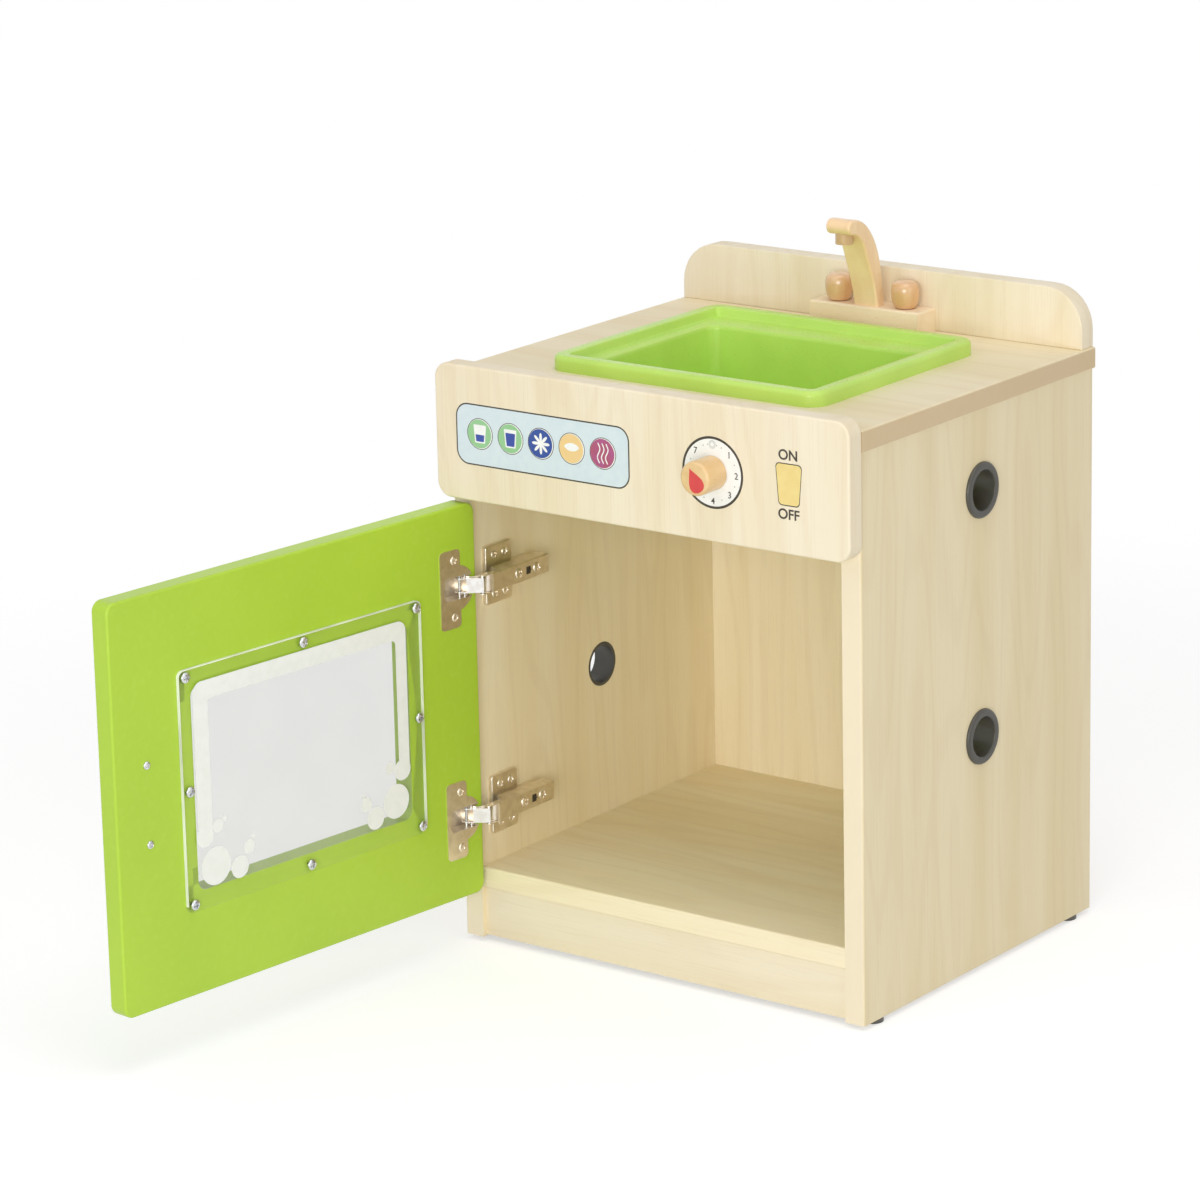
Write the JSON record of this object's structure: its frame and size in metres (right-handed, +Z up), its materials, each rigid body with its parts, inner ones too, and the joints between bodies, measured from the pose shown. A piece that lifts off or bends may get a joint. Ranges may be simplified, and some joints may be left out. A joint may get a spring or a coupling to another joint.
{
  "type": "play kitchen",
  "caption": "Wooden play kitchen unit: lift-out sink tub with tap over an open cupboard with a hinged, windowed door, timer knob and cable grommets.",
  "frame": {"origin": "centre of the four floor glides, on the floor", "axes": "+X to the unit's right as one faces its door, +Y towards its back, +Z up"},
  "size_m": [0.4614, 0.7431, 0.5871],
  "materials": {
    "maple_board": "satin maple laminate",
    "tap_wood": "clear lacquer",
    "turned_wood": "gloss lacquer",
    "dowel_wood": "raw",
    "pull_wood": "clear lacquer",
    "green_board": "satin green laminate",
    "green_plastic": "gloss",
    "clear_acrylic": "clear",
    "grommet_plastic": "satin",
    "black_plastic": "matte",
    "nozzle_wood": "clear lacquer",
    "hinge_steel": "nickel plated",
    "pin_steel": "bright",
    "screw_steel": "zinc plated",
    "zinc_fasteners": "die cast"
  },
  "bodies": {
    "carcass": {"arm_pivot_pins": "pin_steel", "arm_screws": "screw_steel", "back_panel": "maple_board", "backsplash": "maple_board", "bottom_shelf": "maple_board", "cam_bolts": "zinc_fasteners", "cam_locks": "zinc_fasteners", "control_panel": "maple_board", "control_panel_screws": "screw_steel", "dowels": "dowel_wood", "floor_glides": "black_plastic", "front_top_rail": "maple_board", "kick_board": "maple_board", "left_lower_grommet": "grommet_plastic", "left_side_panel": "maple_board", "left_upper_grommet": "grommet_plastic", "lower_hinge_arm": "hinge_steel", "lower_mounting_plate": "hinge_steel", "plate_screws": "screw_steel", "rear_plinth": "maple_board", "rear_top_rail": "maple_board", "right_lower_grommet": "grommet_plastic", "right_side_panel": "maple_board", "right_upper_grommet": "grommet_plastic", "spout_dowel": "dowel_wood", "spout_nozzle": "nozzle_wood", "tap_block": "tap_wood", "tap_screws": "screw_steel", "tap_spout": "tap_wood", "upper_hinge_arm": "hinge_steel", "upper_mounting_plate": "hinge_steel", "worktop": "maple_board"},
    "door": {"door_panel": "green_board", "door_window": "clear_acrylic", "window_screws": "screw_steel", "door_pull": "pull_wood", "pull_screws": "screw_steel", "upper_hinge_cup": "hinge_steel", "lower_hinge_cup": "hinge_steel", "cup_pivot_pins": "pin_steel", "cup_screws": "screw_steel"},
    "rear_links": {"upper_rear_link": "hinge_steel", "lower_rear_link": "hinge_steel"},
    "front_links": {"upper_front_link": "hinge_steel", "lower_front_link": "hinge_steel"},
    "timer": {"timer_knob": "turned_wood", "timer_dowel": "dowel_wood", "timer_retainer": "black_plastic"},
    "left_tap": {"left_tap_knob": "turned_wood", "left_knob_dowel": "dowel_wood"},
    "right_tap": {"right_tap_knob": "turned_wood", "right_knob_dowel": "dowel_wood"},
    "basin": {"sink_basin": "green_plastic"}
  },
  "joints": [
    {"name": "rear_link_swing", "type": "hinge", "parent": "carcass", "child": "rear_links", "pos_m": [-0.165, -0.16582, 0.215], "axis": [0, 0, 1], "range_deg": [-34.6, 0.8]},
    {"name": "door_swing", "type": "hinge", "parent": "rear_links", "child": "door", "pos_m": [-0.17874, -0.18679, 0.215], "axis": [0, 0, 1], "range_deg": [-2.72, 130.56]},
    {"name": "front_link_swing", "type": "hinge", "parent": "carcass", "child": "front_links", "pos_m": [-0.166, -0.179, 0.215], "axis": [0, 0, 1], "range_deg": [-34.6, 0.8]},
    {"name": "timer_turn", "type": "hinge", "parent": "carcass", "child": "timer", "pos_m": [0.074, -0.2, 0.442], "axis": [0, -1, 0], "continuous": true},
    {"name": "left_tap_turn", "type": "hinge", "parent": "carcass", "child": "left_tap", "pos_m": [-0.0285, 0.13925, 0.52], "axis": [0, 0, 1], "continuous": true},
    {"name": "right_tap_turn", "type": "hinge", "parent": "carcass", "child": "right_tap", "pos_m": [0.0375, 0.13925, 0.52], "axis": [0, 0, 1], "continuous": true},
    {"name": "basin_lift", "type": "slide", "parent": "carcass", "child": "basin", "axis": [0, 0, 1], "range_m": [0, 0.1]}
  ],
  "couplings": [
    {"joint": "rear_link_swing", "follows": "door_swing", "ratio": -0.26471},
    {"joint": "front_link_swing", "follows": "door_swing", "ratio": -0.26471}
  ]
}
